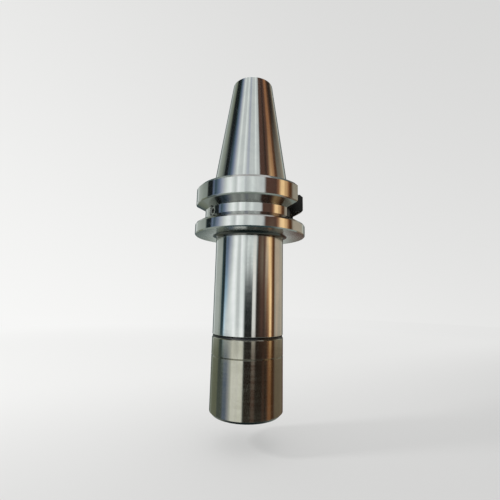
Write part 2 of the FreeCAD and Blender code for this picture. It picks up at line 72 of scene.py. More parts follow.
class Wiring:
    """Short calls that add nodes to one shader tree and join them."""

    def __init__(self, tree: bpy.types.NodeTree) -> None:
        """Keeps the tree that the nodes go into.

        Args:
            tree: The tree of a material, a world or a node group.
        """
        self.tree = tree

    def feed(self, socket: bpy.types.NodeSocket, value: Fed) -> None:
        """Joins an output to an input, or sets the input's own value.

        Args:
            socket: The input.
            value: An output socket, or a plain value.
        """
        if isinstance(value, bpy.types.NodeSocket):
            self.tree.links.new(value, socket)
        else:
            socket.default_value = value

    def add(
        self, kind: str, feeds: dict[str | int, Fed] | None = None, **settings: object
    ) -> bpy.types.Node:
        """Adds one node.

        Args:
            kind: Blender's name for the node's type.
            feeds: What goes into its inputs, by name or number.
            **settings: The node's own settings.

        Returns:
            The new node.
        """
        node = self.tree.nodes.new(kind)
        for name, value in settings.items():
            setattr(node, name, value)
        for key, value in (feeds or {}).items():
            self.feed(node.inputs[key], value)
        return node

    def math(
        self, operation: str, first: Fed, second: Fed = 0.0, clamp: bool = False
    ) -> bpy.types.NodeSocket:
        """Adds a Math node.

        Args:
            operation: The sum that it does.
            first: Its first value.
            second: Its second value.
            clamp: Whether the result is held between 0 and 1.

        Returns:
            The result.
        """
        feeds = {0: first, 1: second}
        return self.add("ShaderNodeMath", feeds, operation=operation, use_clamp=clamp).outputs[0]

    def dot(self, first: Fed, second: Fed) -> bpy.types.NodeSocket:
        """Adds the dot product of two vectors."""
        node = self.add("ShaderNodeVectorMath", {0: first, 1: second}, operation="DOT_PRODUCT")
        return node.outputs["Value"]

    def length(self, vector: Fed) -> bpy.types.NodeSocket:
        """Adds the length of a vector."""
        return self.add("ShaderNodeVectorMath", {0: vector}, operation="LENGTH").outputs["Value"]

    def ramp(
        self, value: Fed, low: Fed, high: Fed, to_low: float = 0.0, to_high: float = 1.0
    ) -> bpy.types.NodeSocket:
        """Adds a smooth step from one value to another.

        Args:
            value: What is measured.
            low: Where the step begins.
            high: Where the step ends.
            to_low: What comes out before it.
            to_high: What comes out after it.

        Returns:
            The stepped value.
        """
        labels = ("Value", "From Min", "From Max", "To Min", "To Max")
        feeds = dict(zip(labels, (value, low, high, to_low, to_high)))
        return self.add("ShaderNodeMapRange", feeds, interpolation_type="SMOOTHSTEP").outputs[0]

    def blend(self, share: Fed, first: Fed, second: Fed) -> bpy.types.NodeSocket:
        """Mixes two colours.

        Args:
            share: How much of the second colour there is.
            first: The first colour.
            second: The second colour.

        Returns:
            The mixed colour.
        """
        node = self.add("ShaderNodeMix", {0: share, 6: first, 7: second}, data_type="RGBA")
        return node.outputs[2]

    def layer(
        self, share: Fed, first: bpy.types.Node, second: bpy.types.Node
    ) -> bpy.types.NodeSocket:
        """Mixes two shaders, by how much of the second there is."""
        feeds = {0: share, 1: first.outputs[0], 2: second.outputs[0]}
        return self.add("ShaderNodeMixShader", feeds).outputs[0]


def rgba(colour: Colour) -> tuple[float, float, float, float]:
    """Returns a colour with full alpha."""
    return (*colour, 1.0)


def new_material(name: str) -> tuple[bpy.types.Material, Wiring]:
    """Makes a material with an empty tree.

    Args:
        name: Its name.

    Returns:
        The material, and the wiring of its tree.
    """
    material = bpy.data.materials.new(name)
    material.use_nodes = True
    wiring = Wiring(material.node_tree)
    wiring.tree.nodes.clear()
    return material, wiring


def add_object(name: str, data: bpy.types.ID) -> bpy.types.Object:
    """Puts a mesh, a lamp or a camera into the scene as an object."""
    piece = bpy.data.objects.new(name, data)
    bpy.context.scene.collection.objects.link(piece)
    return piece


def show_to_gloss_only(piece: bpy.types.Object) -> None:
    """Hides a stage piece from everything but reflections."""
    piece.visible_camera = False
    piece.visible_diffuse = False
    piece.visible_shadow = False


def spot(radius: float, angle: float, height: float) -> tuple[float, float, float]:
    """Returns the point at a radius, an angle in radians and a height."""
    return radius * math.cos(angle), radius * math.sin(angle), height


class EffectGroups:
    """The node groups that the steels share. Each is built once, when it is first asked for."""

    smear_ramp = (0.36, 0.68)
    hair_ramp = (0.0015, 0.0055)
    patch_scale = 260.0
    patch_ramp = (0.52, 0.64)
    edge_ramp = (0.995, 0.86)

    def __init__(self) -> None:
        """Starts with no group built."""
        self._built: dict[str, bpy.types.NodeTree] = {}

    def get(self, name: str) -> bpy.types.NodeTree:
        """Finds a group, and builds it the first time.

        Args:
            name: The group's name, which is also that of the method that builds it.

        Returns:
            The group.
        """
        if name not in self._built:
            self._built[name] = getattr(self, name)(name)
        return self._built[name]

    @staticmethod
    def _start(
        name: str, takes: dict[str, float], gives: dict[str, str]
    ) -> tuple[Wiring, dict, bpy.types.Node]:
        """Makes an empty group with its sockets.

        Args:
            name: The group's name.
            takes: Its inputs and their usual values.
            gives: Its outputs and their socket types.

        Returns:
            The wiring, the inputs by name, and the node that collects the outputs.
        """
        tree = bpy.data.node_groups.new(name, "ShaderNodeTree")
        for label, usual in takes.items():
            socket = tree.interface.new_socket(label, in_out="INPUT", socket_type="NodeSocketFloat")
            socket.default_value = usual
        for label, kind in gives.items():
            tree.interface.new_socket(label, in_out="OUTPUT", socket_type=kind)
        wiring = Wiring(tree)
        entry, end = wiring.add("NodeGroupInput"), wiring.add("NodeGroupOutput")
        return wiring, {label: entry.outputs[label] for label in takes}, end

    @staticmethod
    def _place(wiring: Wiring) -> tuple[bpy.types.NodeSocket, dict[str, bpy.types.NodeSocket]]:
        """Reads where a point of the piece is.

        Args:
            wiring: The tree to add to.

        Returns:
            The point itself, and its x, y, z and radius from the axis.
        """
        point = wiring.add("ShaderNodeTexCoord").outputs["Object"]
        split = wiring.add("ShaderNodeSeparateXYZ", {0: point}).outputs
        feeds = {0: point, 1: (1.0, 1.0, 0.0)}
        flat = wiring.add("ShaderNodeVectorMath", feeds, operation="MULTIPLY").outputs[0]
        return point, {"x": split[0], "y": split[1], "z": split[2], "r": wiring.length(flat)}

    def lathe_grain(self, name: str) -> bpy.types.NodeTree:
        """Builds the fine rings that turning and grinding leave round the axis.

        Args:
            name: The group's name.

        Returns:
            A group that gives fine marks, and broader bands of them.
        """
        wiring, takes, end = self._start(
            name,
            {"Spacing": 0.0001, "Stray": 1.4},
            {"Marks": "NodeSocketFloat", "Bands": "NodeSocketFloat"},
        )
        _, at = self._place(wiring)
        safe = wiring.math("MAXIMUM", at["r"], 1e-6)
        across = wiring.math("MULTIPLY", wiring.math("DIVIDE", at["x"], safe), takes["Stray"])
        along = wiring.math("MULTIPLY", wiring.math("DIVIDE", at["y"], safe), takes["Stray"])
        for label, coarser, detail in (("Marks", 1.0, 2.0), ("Bands", 6.0, 4.0)):
            step = wiring.math("MULTIPLY", takes["Spacing"], coarser)
            ring = wiring.add(
                "ShaderNodeCombineXYZ",
                {
                    0: wiring.math("DIVIDE", at["r"], step),
                    1: wiring.math("DIVIDE", at["z"], step),
                    2: across,
                },
            )
            noise = wiring.add(
                "ShaderNodeTexNoise",
                {
                    "Vector": ring.outputs[0],
                    "W": along,
                    "Scale": 1.0,
                    "Detail": detail,
                    "Roughness": 0.6,
                },
                noise_dimensions="4D",
            )
            wiring.feed(end.inputs[label], noise.outputs[0])
        return wiring.tree

    def handling(self, name: str) -> bpy.types.NodeTree:
        """Builds the oil smears and hairline scratches that handling leaves.

        Args:
            name: The group's name.

        Returns:
            A group that gives soft smears and thin scratches.
        """
        wiring, takes, end = self._start(
            name,
            {"Smear Size": 0.006, "Scratch Size": 0.009},
            {"Smears": "NodeSocketFloat", "Scratches": "NodeSocketFloat"},
        )
        point, _ = self._place(wiring)
        smear = wiring.add(
            "ShaderNodeTexNoise",
            {
                "Vector": point,
                "Scale": wiring.math("DIVIDE", 1.0, takes["Smear Size"]),
                "Detail": 5.0,
                "Roughness": 0.62,
                "Distortion": 0.6,
            },
        )
        wiring.feed(end.inputs["Smears"], wiring.ramp(smear.outputs[0], *self.smear_ramp))
        lean = wiring.add(
            "ShaderNodeMapping",
            {"Vector": point, "Rotation": (0.5, 0.3, 0.9), "Scale": (1.0, 1.0, 0.22)},
        )
        hair = wiring.add(
            "ShaderNodeTexNoise",
            {
                "Vector": lean.outputs[0],
                "Scale": wiring.math("DIVIDE", 1.0, takes["Scratch Size"]),
                "Detail": 1.0,
                "Roughness": 0.4,
            },
        )
        off = wiring.math("ABSOLUTE", wiring.math("SUBTRACT", hair.outputs[0], 0.5))
        line = wiring.ramp(off, *self.hair_ramp, 1.0, 0.0)
        feeds = {"Vector": point, "Scale": self.patch_scale, "Detail": 2.0}
        patch = wiring.add("ShaderNodeTexNoise", feeds)
        keep = wiring.ramp(patch.outputs[0], *self.patch_ramp)
        wiring.feed(end.inputs["Scratches"], wiring.math("MULTIPLY", line, keep))
        return wiring.tree

    def soft_edge(self, name: str) -> bpy.types.NodeTree:
        """Builds the small round that every machined edge has, and a mask of the edges.

        Args:
            name: The group's name.

        Returns:
            A group that gives the rounded normal and the edge mask.
        """
        wiring, takes, end = self._start(
            name, {"Radius": 0.0001}, {"Normal": "NodeSocketVector", "Edge": "NodeSocketFloat"}
        )
        rounded = wiring.add("ShaderNodeBevel", {"Radius": takes["Radius"]}, samples=6).outputs[0]
        plain = wiring.add("ShaderNodeNewGeometry").outputs["Normal"]
        turn = wiring.dot(rounded, plain)
        wiring.feed(end.inputs["Normal"], rounded)
        wiring.feed(end.inputs["Edge"], wiring.ramp(turn, *self.edge_ramp))
        return wiring.tree

    def ring_zone(self, name: str) -> bpy.types.NodeTree:
        """Builds a mask of a ring-shaped part of the surface.

        Args:
            name: The group's name.

        Returns:
            A group that gives the mask.
        """
        return self._zone(name, ("Inner", "Outer"), lambda wiring, at: (at["r"], at["r"]))

    def slot_zone(self, name: str) -> bpy.types.NodeTree:
        """Builds a mask of two slots that face each other across the X axis.

        Args:
            name: The group's name.

        Returns:
            A group that gives the mask.
        """
        return self._zone(
            name,
            ("Floor", "Half Width"),
            lambda wiring, at: tuple(wiring.math("ABSOLUTE", at[axis]) for axis in "xy"),
        )

    def _zone(
        self,
        name: str,
        limits: tuple[str, str],
        measure: Callable[[Wiring, dict], tuple[bpy.types.NodeSocket, ...]],
    ) -> bpy.types.NodeTree:
        """Builds a mask that is 1 between two heights, past one limit and short of another.

        Args:
            name: The group's name.
            limits: The names of those two limits.
            measure: Gives what is held against each of them.

        Returns:
            A group that gives the mask.
        """
        past, short = limits
        usual = {"Low": 0.0, "High": 1.0, past: 0.0, short: 1.0}
        wiring, takes, end = self._start(name, usual, {"Mask": "NodeSocketFloat"})
        _, at = self._place(wiring)
        first, second = measure(wiring, at)
        held = wiring.math("GREATER_THAN", at["z"], takes["Low"])
        for test, value, limit in (
            ("LESS_THAN", at["z"], "High"),
            ("GREATER_THAN", first, past),
            ("LESS_THAN", second, short),
        ):
            held = wiring.math("MULTIPLY", held, wiring.math(test, value, takes[limit]))
        wiring.feed(end.inputs["Mask"], held)
        return wiring.tree


EFFECTS = EffectGroups()


class ZoneKind(Enum):
    """The shapes that a zone of a finish can have, named for their mask groups."""

    RING = "ring_zone"
    SLOTS = "slot_zone"


@dataclass(frozen=True)
class Zone:
    """A part of a piece with its own colour and roughness; most zones' colours are painted shade.

    The limits are those of its mask group: low and high along Z, then inner and outer radius for
    a ring, or floor and half width for slots.
    """

    kind: ZoneKind
    low: float
    high: float
    third: float
    fourth: float
    colour: Colour
    roughness: float

    def mask(self, wiring: Wiring) -> bpy.types.NodeSocket:
        """Places the zone's mask group.

        Args:
            wiring: The material's tree.

        Returns:
            The mask.
        """
        group = wiring.add("ShaderNodeGroup", node_tree=EFFECTS.get(self.kind.value))
        for socket, value in zip(group.inputs, (self.low, self.high, self.third, self.fourth)):
            socket.default_value = value
        return group.outputs["Mask"]


@dataclass(frozen=True)
class SteelFinish:
    """How one steel surface looks: its colour, gloss, grain, smears and worn edges."""

    name: str
    colour: Colour
    smeared: Colour
    roughness: float
    smear_roughness: float
    stretch: float
    grain_spacing: float
    grain_depth: float
    edge_radius: float
    edge_colour: Colour
    edge_wear: float
    scratch_share: float = 0.3

    def material(self, zones: tuple[Zone, ...] = ()) -> bpy.types.Material:
        """Builds the material.

        Args:
            zones: The parts of the piece that look otherwise, most with painted shade.

        Returns:
            The material.
        """
        material, wiring = new_material(self.name)
        grain = wiring.add("ShaderNodeGroup", {}, node_tree=EFFECTS.get("lathe_grain"))
        grain.inputs["Spacing"].default_value = self.grain_spacing
        handled = wiring.add("ShaderNodeGroup", {}, node_tree=EFFECTS.get("handling"))
        edge = wiring.add("ShaderNodeGroup", {}, node_tree=EFFECTS.get("soft_edge"))
        edge.inputs["Radius"].default_value = self.edge_radius

        colour = wiring.blend(handled.outputs["Smears"], rgba(self.colour), rgba(self.smeared))
        gloss = (self.roughness * share for share in GLOSS_SPREAD)
        rough = wiring.ramp(grain.outputs["Bands"], *GRAIN_RANGE, *gloss)
        smear = wiring.math("MULTIPLY", handled.outputs["Smears"], self.smear_roughness)
        rough = wiring.math("ADD", rough, smear)
        # Most zone colours are painted shade, laid over the steel's colour.
        for zone in zones:
            mask = zone.mask(wiring)
            colour = wiring.blend(mask, colour, rgba(zone.colour))
            keep = wiring.math("MULTIPLY", rough, wiring.math("SUBTRACT", 1.0, mask))
            rough = wiring.math("ADD", keep, wiring.math("MULTIPLY", mask, zone.roughness))
        worn = wiring.math("MULTIPLY", edge.outputs["Edge"], self.edge_wear)
        colour = wiring.blend(worn, colour, rgba(self.edge_colour))
        scratches = handled.outputs["Scratches"]
        dulled = wiring.math("MULTIPLY", scratches, SCRATCH_ROUGHNESS)
        rough = wiring.math("ADD", rough, dulled, clamp=True)

        scored = wiring.math("MULTIPLY", scratches, -self.scratch_share)
        relief = wiring.math("ADD", grain.outputs["Marks"], scored)
        bump = wiring.add(
            "ShaderNodeBump",
            {
                "Strength": 1.0,
                "Distance": self.grain_depth,
                "Height": relief,
                "Normal": edge.outputs["Normal"],
            },
        )
        shader = wiring.add(
            "ShaderNodeBsdfPrincipled",
            {
                "Base Color": colour,
                "Metallic": 1.0,
                "Roughness": rough,
                "Anisotropic": self.stretch,
                "Anisotropic Rotation": ANISOTROPIC_TURN,
                "Normal": bump.outputs[0],
            },
        )
        wiring.add("ShaderNodeOutputMaterial", {"Surface": shader.outputs[0]})
        return material

    def dress(self, piece: bpy.types.Object, zones: tuple[Zone, ...] = ()) -> None:
        """Puts the finish on a piece.

        Args:
            piece: A CAD node or a piece of this scene.
            zones: The parts of the piece that look otherwise, most with painted shade.
        """
        material = self.material(zones)
        if piece.material_slots:
            for place in piece.material_slots:
                place.material = material
        else:
            piece.data.materials.append(material)
        LOG.info("%s is dressed in %s", piece.name, self.name)


GROUND = SteelFinish(
    name="ground_bright_steel",
    colour=(0.63, 0.63, 0.62),
    smeared=(0.585, 0.59, 0.585),
    roughness=0.09,
    smear_roughness=0.018,
    stretch=0.85,
    grain_spacing=0.00011,
    grain_depth=0.0000012,
    edge_radius=0.00014,
    edge_colour=(0.72, 0.72, 0.71),
    edge_wear=0.5,
)
DARKENED = SteelFinish(
    name="darkened_satin_steel",
    colour=(0.39, 0.376, 0.322),
    smeared=(0.35, 0.335, 0.28),
    roughness=0.13,
    smear_roughness=0.022,
    stretch=0.86,
    grain_spacing=0.00014,
    grain_depth=0.0000022,
    edge_radius=0.0001,
    edge_colour=(0.50, 0.49, 0.45),
    edge_wear=0.4,
)
TURNED = SteelFinish(
    name="turned_ring_steel",
    colour=(0.50, 0.50, 0.49),
    smeared=(0.45, 0.45, 0.43),
    roughness=0.28,
    smear_roughness=0.05,
    stretch=0.6,
    grain_spacing=0.00016,
    grain_depth=0.000003,
    edge_radius=0.00008,
    edge_colour=(0.66, 0.66, 0.65),
    edge_wear=0.5,
)
BLUED = SteelFinish(
    name="blued_spring_steel",
    colour=(0.14, 0.15, 0.19),
    smeared=(0.11, 0.11, 0.13),
    roughness=0.3,
    smear_roughness=0.05,
    stretch=0.3,
    grain_spacing=0.00012,
    grain_depth=0.0000015,
    edge_radius=0.00005,
    edge_colour=(0.42, 0.42, 0.43),
    edge_wear=0.6,
)
COLLET = SteelFinish(
    name="ground_collet_steel",
    colour=(0.59, 0.59, 0.58),
    smeared=(0.53, 0.53, 0.52),
    roughness=0.24,
    smear_roughness=0.04,
    stretch=0.6,
    grain_spacing=0.0001,
    grain_depth=0.0000015,
    edge_radius=0.00006,
    edge_colour=(0.7, 0.7, 0.69),
    edge_wear=0.5,
)
BLACK = SteelFinish(
    name="black_oxide_screw",
    colour=(0.055, 0.055, 0.06),
    smeared=(0.08, 0.078, 0.075),
    roughness=0.36,
    smear_roughness=0.06,
    stretch=0.2,
    grain_spacing=0.00012,
    grain_depth=0.000002,
    edge_radius=0.00006,
    edge_colour=(0.34, 0.34, 0.34),
    edge_wear=0.8,
)


def join_rings(
    shape: bmesh.types.BMesh, before: list[bmesh.types.BMVert], after: list[bmesh.types.BMVert]
) -> None:
    """Builds the wall between two rings with the same count of points."""
    count = len(before)
    for corner in range(count):
        beside = (corner + 1) % count
        shape.faces.new((before[corner], before[beside], after[beside], after[corner]))


def turned_piece(name: str, shape: bmesh.types.BMesh) -> bpy.types.Object:
    """Makes a piece with smooth walls and sharp edges.

    Args:
        name: Its name.
        shape: Its form, which is freed.

    Returns:
        The piece, in place.
    """
    mesh = bpy.data.meshes.new(name)
    bmesh.ops.recalc_face_normals(shape, faces=shape.faces)
    shape.to_mesh(mesh)
    shape.free()
    mesh.shade_smooth()
    mesh.set_sharp_from_angle(angle=math.radians(SHARP_ANGLE))
    return add_object(name, mesh)


@dataclass(frozen=True)
class ThreadRidge:
    """A helical ridge on a turned wall. With the wall's core it makes a right-hand thread."""

    name: str
    core: float
    crest: float
    pitch: float
    low: float
    high: float
    start: float = 0.0
    steps: int = 72

    def profile(self, rise: float) -> list[tuple[float, float]]:
        """Works out the ridge's section.

        Args:
            rise: How much of its full height the ridge has there.

        Returns:
            Four points, each a radius and a height above the helix's own line.
        """
        height = (self.crest - self.core) * max(rise, LEAST_RISE)
        sunk = self.core - math.copysign(THREAD_SINK, height)
        top = self.core + height
        flat = self.pitch / 16
        foot = flat + abs(height) * math.tan(math.radians(THREAD_FLANK))
        return [(sunk, -foot), (top, -flat), (top, flat), (sunk, foot)]

    def build(self) -> bpy.types.Object:
        """Builds the ridge's mesh, which runs out over a third of a turn at each end.

        Returns:
            The piece, in place.
        """
        shape = bmesh.new()
        turns = (self.high - self.low) / self.pitch
        count = round(turns * self.steps)
        rings = []
        for step in range(count + 1):
            turn = step / self.steps
            angle = math.radians(self.start) + 2 * math.pi * turn
            rise = min(1.0, RUN_OUT_RATE * turn, RUN_OUT_RATE * (turns - turn))
            height = self.low + self.pitch * turn
            section = self.profile(rise)
            rings.append([shape.verts.new(spot(r, angle, height + up)) for r, up in section])
        for before, after in zip(rings, rings[1:]):
            join_rings(shape, before, after)
        shape.faces.new(rings[0])
        shape.faces.new(rings[-1])
        return turned_piece(self.name, shape)


@dataclass(frozen=True)
class TurnedRing:
    """A low ring with broken upper edges, turned round the axis."""

    name: str
    inner: float
    outer: float
    low: float
    high: float
    edge: float = 0.08 * MM
    steps: int = 144

    def build(self) -> bpy.types.Object:
        """Builds the ring's mesh.

        Returns:
            The piece, in place.
        """
        section = (
            (self.inner, self.low),
            (self.outer, self.low),
            (self.outer, self.high - self.edge),
            (self.outer - self.edge, self.high),
            (self.inner + self.edge, self.high),
            (self.inner, self.high - self.edge),
        )
        shape = bmesh.new()
        rings = []
        for step in range(self.steps):
            angle = 2 * math.pi * step / self.steps
            rings.append([shape.verts.new(spot(r, angle, z)) for r, z in section])
        for before, after in zip(rings, rings[1:] + rings[:1]):
            join_rings(shape, before, after)
        return turned_piece(self.name, shape)


def fit_piece(shape: ThreadRidge | TurnedRing, finish: SteelFinish, body: str) -> None:
    """Builds a piece, dresses it and sets it on its body.

    Args:
        shape: The ridge or the ring.
        finish: Its steel.
        body: The CAD body that carries it.
    """
    piece = shape.build()
    finish.dress(piece)
    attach(piece, body)
    LOG.info("%s rides on %s", piece.name, body)


def mount(name: str) -> tuple[float, float, float]:
    """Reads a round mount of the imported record.

    Args:
        name: The mount's name.

    Returns:
        Its radius, and its lowest and highest point along Z.
    """
    found = next(m for m in frame["record"]["mounts"] if m["name"] == name)
    half = found["dims"]["length_mm"] * MM / 2
    return found["dims"]["r_mm"] * MM, found["pos_m"][2] - half, found["pos_m"][2] + half


@dataclass
class ChuckBody:
    """The one-piece holder: taper, flange, barrel, threaded nose and bores."""

    nose_core: float = 10.45 * MM
    nose_crest: float = 11.0 * MM
    nose_pitch: float = 1.0 * MM
    nose_thread_length: float = 15.4 * MM
    drawbar_crest: float = 5.12 * MM
    drawbar_pitch: float = 1.75 * MM
    nose_start: float = 0.6 * MM
    drawbar_margins: tuple[float, float] = (0.8 * MM, 0.9 * MM)
    bore_rim: float = 0.2 * MM
    bore_reach: float = 8.1 * MM
    bore_colour: Colour = (0.40, 0.395, 0.38)
    bore_roughness: float = 0.34
    # Near-black drive slots: painted shade in the slots.
    slots: Zone = Zone(
        ZoneKind.SLOTS, 72.98 * MM, 88.05 * MM, 16.28 * MM, 8.1 * MM, (0.045, 0.042, 0.04), 0.5
    )
    # Darker V groove walls: painted shade in the groove.
    groove: Zone = Zone(
        ZoneKind.RING, 72.3 * MM, 80.5 * MM, 19.04 * MM, 22.97 * MM, (0.44, 0.445, 0.43), 0.12
    )
    # Slightly darker flange underside: painted shade under the flange.
    underside: Zone = Zone(
        ZoneKind.RING, 67.6 * MM, 68.02 * MM, 15.6 * MM, 22.7 * MM, (0.56, 0.575, 0.545), 0.24
    )
    # Dark fillet where the barrel meets the flange: painted shade under the flange.
    root_shade: Zone = Zone(
        ZoneKind.RING, 66.45 * MM, 68.05 * MM, 13.5 * MM, 15.6 * MM, (0.12, 0.118, 0.11), 0.2
    )
    # Dark nose: painted shade in the gap between the nut and the barrel.
    nose: Zone = Zone(
        ZoneKind.RING, 6.4 * MM, 28.69 * MM, 10.0 * MM, 11.6 * MM, (0.10, 0.095, 0.085), 0.42
    )

    def zones(self) -> tuple[Zone, ...]:
        """Lists the surfaces unlike ground steel; all but the bores are darkened by painted shade.

        Returns:
            The bores, the drive slots, the V groove's walls, the flange's underside, the fillet
            between the flange and the barrel, and the nose.
        """
        low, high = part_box("chuck_body")
        bores = Zone(
            ZoneKind.RING,
            low.z,
            high.z - self.bore_rim,
            ON_AXIS,
            self.bore_reach,
            self.bore_colour,
            self.bore_roughness,
        )
        return bores, self.slots, self.groove, self.underside, self.root_shade, self.nose

    def build(self) -> None:
        """Dresses the body and cuts its two threads."""
        GROUND.dress(frame["nodes"]["chuck_body"], self.zones())
        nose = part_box("chuck_body")[0].z + self.nose_start
        fit_piece(
            ThreadRidge(
                "nose_thread",
                self.nose_core,
                self.nose_crest,
                self.nose_pitch,
                nose,
                nose + self.nose_thread_length,
            ),
            GROUND,
            "chuck",
        )
        radius, low, high = mount("drawbar_thread")
        fit_piece(
            ThreadRidge(
                "drawbar_thread",
                radius,
                self.drawbar_crest,
                self.drawbar_pitch,
                low + self.drawbar_margins[0],
                high - self.drawbar_margins[1],
            ),
            TURNED,
            "chuck",
        )
        TURNED.dress(frame["nodes"]["balance_screw"])


@dataclass
class ClampingNut:
    """The round nut with its inner thread and the snap ring that it carries."""

    bore: float = 11.08 * MM
    crest: float = 10.54 * MM
    pitch: float = 1.0 * MM
    low: float = 6.6 * MM
    length: float = 16.0 * MM
    land_inner: float = 11.75 * MM
    land_outer: float = 13.85 * MM
    land_height: float = 0.55 * MM
    land_sink: float = 0.1 * MM
    thread_start: float = 36.0
    # Dark front chamfer: painted shade along the nut's bottom edge.
    chamfer_shade: Zone = Zone(
        ZoneKind.RING, -0.1 * MM, 0.99 * MM, 12.9 * MM, 14.2 * MM, (0.11, 0.105, 0.09), 0.2
    )

    def build(self) -> None:
        """Dresses the nut and its snap ring, and adds the inner thread and the rear land."""
        DARKENED.dress(frame["nodes"]["clamping_nut"], (self.chamfer_shade,))
        BLUED.dress(frame["nodes"]["snap_ring"])
        ridge = ThreadRidge(
            "nut_thread",
            self.bore,
            self.crest,
            self.pitch,
            self.low,
            self.low + self.length,
            self.thread_start,
        )
        fit_piece(ridge, DARKENED, "nut")
        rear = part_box("clamping_nut")[1].z
        land = TurnedRing(
            "rear_land",
            self.land_inner,
            self.land_outer,
            rear - self.land_sink,
            rear + self.land_height,
        )
        # The land is a lip of the nut, dressed black as painted shade in the gap to the barrel.
        fit_piece(land, BLACK, "nut")


@dataclass
class ColletSet:
    """The slit collet with the ring that draws it, and the stop screw behind it."""

    bore_reach: float = 5.05 * MM
    bore_colour: Colour = (0.34, 0.335, 0.32)
    bore_roughness: float = 0.3

    def build(self) -> None:
        """Dresses the three pieces."""
        low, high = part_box("spring_collet")
        bore = Zone(
            ZoneKind.RING,
            low.z,
            high.z,
            ON_AXIS,
            self.bore_reach,
            self.bore_colour,
            self.bore_roughness,
        )
        COLLET.dress(frame["nodes"]["spring_collet"], (bore,))
        TURNED.dress(frame["nodes"]["extractor_ring"])
        BLACK.dress(frame["nodes"]["stop_screw"])


@dataclass(frozen=True)
class Post:
    """One upright of the studio wall: its bearing from the camera's, and its tint at each level."""

    bearing: float
    nut: Colour
    low: Colour
    barrel: Colour
    crest: Colour
    flange: Colour
    taper: Colour

    def tints(self) -> tuple[Colour, ...]:
        """Lists the tints upwards.

        Returns:
            One tint for each of the wall's levels.
        """
        return self.nut, self.low, self.barrel, self.crest, self.flange, self.taper


@dataclass
class StudioWall:
    """A round wall of narrow light and dark bands that only the steel reflects."""

    posts: tuple[Post, ...]
    radius: float = 0.9
    levels: tuple[float, ...] = (-0.105, -0.07, 0.06, 0.15, 0.29, 0.88)
    floor_level: float = -0.45
    top_level: float = 1.7
    column_width: float = 3.0

    def build(self, facing: float) -> None:
        """Builds the wall.

        Args:
            facing: The camera's bearing, which the posts' bearings are counted from.
        """
        heights = (self.floor_level, *self.levels, self.top_level)
        spots, tints = [], []
        columns = self.columns()
        for bearing, shades in columns:
            angle = math.radians(facing + bearing)
            x, y = self.radius * math.sin(angle), -self.radius * math.cos(angle)
            for height, shade in zip(heights, (shades[0], *shades, shades[-1])):
                spots.append((x, y, height))
                tints.extend(rgba(shade))
        rows = len(heights)
        faces = []
        for column in range(len(columns) - 1):
            for row in range(rows - 1):
                corner = column * rows + row
                faces.append((corner, corner + rows, corner + rows + 1, corner + 1))
        mesh = bpy.data.meshes.new("studio_wall")
        mesh.from_pydata(spots, [], faces)
        mesh.color_attributes.new("glow", "FLOAT_COLOR", "POINT").data.foreach_set("color", tints)
        mesh.materials.append(self.glow())
        wall = add_object("studio_wall", mesh)
        show_to_gloss_only(wall)
        LOG.info("the studio wall has %d columns", len(columns))

    def columns(self) -> list[tuple[float, list[Colour]]]:
        """Splits the spans between posts into narrow columns.

        Returns:
            The bearing of each column's edge, and its tints upwards.
        """
        found = []
        for post, after in zip(self.posts, self.posts[1:]):
            count = max(1, math.ceil((after.bearing - post.bearing) / self.column_width))
            for step in range(count):
                share = step / count
                shades = [
                    tuple(a + (b - a) * share for a, b in zip(first, last))
                    for first, last in zip(post.tints(), after.tints())
                ]
                found.append((post.bearing + (after.bearing - post.bearing) * share, shades))
        found.append((self.posts[-1].bearing, list(self.posts[-1].tints())))
        return found

    @staticmethod
    def glow() -> bpy.types.Material:
        """Builds the wall's material, which gives off the wall's own tints.

        Returns:
            The material.
        """
        material, wiring = new_material("wall_glow")
        tint = wiring.add("ShaderNodeVertexColor", layer_name="glow")
        light = wiring.add("ShaderNodeEmission", {"Color": tint.outputs[0], "Strength": 1.0})
        wiring.add("ShaderNodeOutputMaterial", {"Surface": light.outputs[0]})
        return material


GLARE = (1.36, 1.42, 1.38)
WHITE = (1.28, 1.32, 1.33)
SNOW = (1.06, 1.14, 1.11)
PEARL = (0.74, 0.79, 0.78)
FROST = (1.0, 1.22, 1.28)
AZURE = (0.36, 0.55, 0.70)
LILAC = (0.54, 0.58, 0.66)
SLATE = (0.19, 0.25, 0.37)
MIST = (0.52, 0.57, 0.53)
SAGE = (0.36, 0.41, 0.37)
MOSS = (0.25, 0.28, 0.21)
SHADE = (0.13, 0.16, 0.15)
TEAL = (0.04, 0.08, 0.09)
INK = (0.014, 0.018, 0.018)
SOOT = (0.037, 0.027, 0.021)
BARK = (0.115, 0.062, 0.045)
GOLD = (1.38, 0.95, 0.48)
AMBER = (0.78, 0.50, 0.24)
COPPER = (0.38, 0.18, 0.085)
UMBER = (0.12, 0.052, 0.02)
IVORY = (1.06, 1.06, 1.0)
SAND = (0.62, 0.50, 0.37)
KHAKI = (0.46, 0.42, 0.33)
DRAB = (0.26, 0.21, 0.15)

